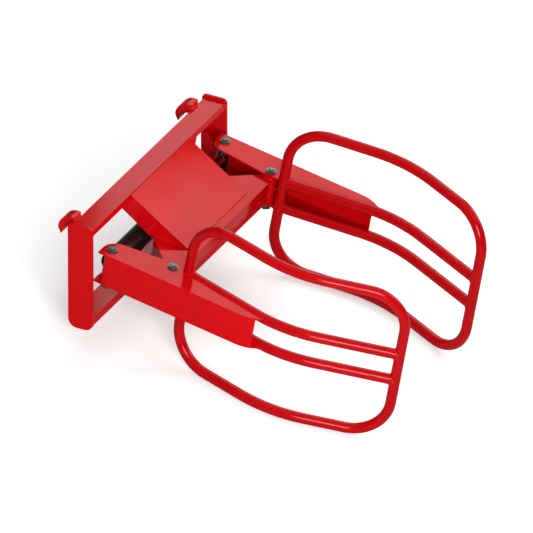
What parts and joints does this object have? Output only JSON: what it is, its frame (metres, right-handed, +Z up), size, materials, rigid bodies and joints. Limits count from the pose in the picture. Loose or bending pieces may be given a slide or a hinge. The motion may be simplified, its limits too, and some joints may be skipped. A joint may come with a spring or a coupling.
{
  "type": "round bale clamp",
  "caption": "Front-loader clamp for round bales: a hooked hitch frame carries a box crossbeam, on which tubular gripping arms swing, drawn together by a hydraulic cylinder.",
  "frame": {"origin": "on the floor under the middle of the bounding box, the arms level", "axes": "+Z up along the arm pivots; the arms point forward along -Y; +X is to the right of someone who faces the open arms, so the barrel is on the -X arm"},
  "size_m": [1.2, 1.5432, 0.751],
  "materials": {
    "red_paint": "gloss powder coat",
    "black_paint": "gloss enamel",
    "zinc": "dull zinc plate",
    "chrome_rod": "hard chrome, polished",
    "bronze": "machined bronze",
    "seal_rubber": "matte"
  },
  "bodies": {
    "headstock": {"top_beam": "red_paint", "bottom_beam": "red_paint", "left_end_plate": "red_paint", "right_end_plate": "red_paint", "left_hook": "red_paint", "right_hook": "red_paint", "left_lock_lug": "red_paint", "right_lock_lug": "red_paint", "left_lock_ribs": "red_paint", "right_lock_ribs": "red_paint", "neck_cover": "red_paint", "left_neck_flange": "red_paint", "right_neck_flange": "red_paint", "neck_gusset": "red_paint", "left_lower_brace": "red_paint", "right_lower_brace": "red_paint", "crossbeam_top_plate": "red_paint", "crossbeam_bottom_plate": "red_paint", "crossbeam_front_plate": "red_paint", "crossbeam_rear_plate": "red_paint", "left_crossbeam_side": "red_paint", "right_crossbeam_side": "red_paint", "left_pivot_tube": "red_paint", "right_pivot_tube": "red_paint", "left_pivot_bushes": "bronze", "right_pivot_bushes": "bronze", "grease_nipples": "zinc"},
    "left_arm": {"left_arm_top_plate": "red_paint", "left_arm_bottom_plate": "red_paint", "left_arm_web": "red_paint", "left_loop": "red_paint", "left_upper_rail": "red_paint", "left_lower_rail": "red_paint", "left_pivot_pin": "zinc", "left_pivot_nut": "zinc", "left_pivot_washers": "zinc", "left_cylinder_pin": "zinc", "left_cylinder_nut": "zinc", "left_cylinder_washers": "zinc"},
    "right_arm": {"right_arm_top_plate": "red_paint", "right_arm_bottom_plate": "red_paint", "right_arm_web": "red_paint", "right_loop": "red_paint", "right_upper_rail": "red_paint", "right_lower_rail": "red_paint", "right_pivot_pin": "zinc", "right_pivot_nut": "zinc", "right_pivot_washers": "zinc", "right_cylinder_pin": "zinc", "right_cylinder_nut": "zinc", "right_cylinder_washers": "zinc"},
    "cylinder_barrel": {"barrel_eye": "black_paint", "barrel_cap": "black_paint", "barrel_tube": "black_paint", "gland": "black_paint", "barrel_ports": "black_paint"},
    "cylinder_rod": {"rod_eye": "black_paint", "rod": "chrome_rod", "piston": "zinc", "piston_seal": "seal_rubber"}
  },
  "joints": [
    {"name": "left_arm_pivot", "type": "hinge", "parent": "headstock", "child": "left_arm", "pos_m": [-0.438, 0.28258, 0.3755], "axis": [0, 0, 1], "range_deg": [-30, 5]},
    {"name": "right_arm_pivot", "type": "hinge", "parent": "headstock", "child": "right_arm", "pos_m": [0.438, 0.28258, 0.3755], "axis": [0, 0, 1], "range_deg": [-5, 30]},
    {"name": "barrel_pivot", "type": "hinge", "parent": "left_arm", "child": "cylinder_barrel", "pos_m": [-0.5, 0.53758, 0.3755], "axis": [0, 0, 1], "range_deg": [-5, 30]},
    {"name": "rod_pivot", "type": "hinge", "parent": "right_arm", "child": "cylinder_rod", "pos_m": [0.5, 0.53758, 0.3755], "axis": [0, 0, 1], "range_deg": [-30, 5]}
  ],
  "couplings": [
    {"joint": "right_arm_pivot", "follows": "left_arm_pivot", "ratio": -1},
    {"joint": "barrel_pivot", "follows": "left_arm_pivot", "ratio": -1},
    {"joint": "rod_pivot", "follows": "left_arm_pivot", "ratio": 1}
  ]
}
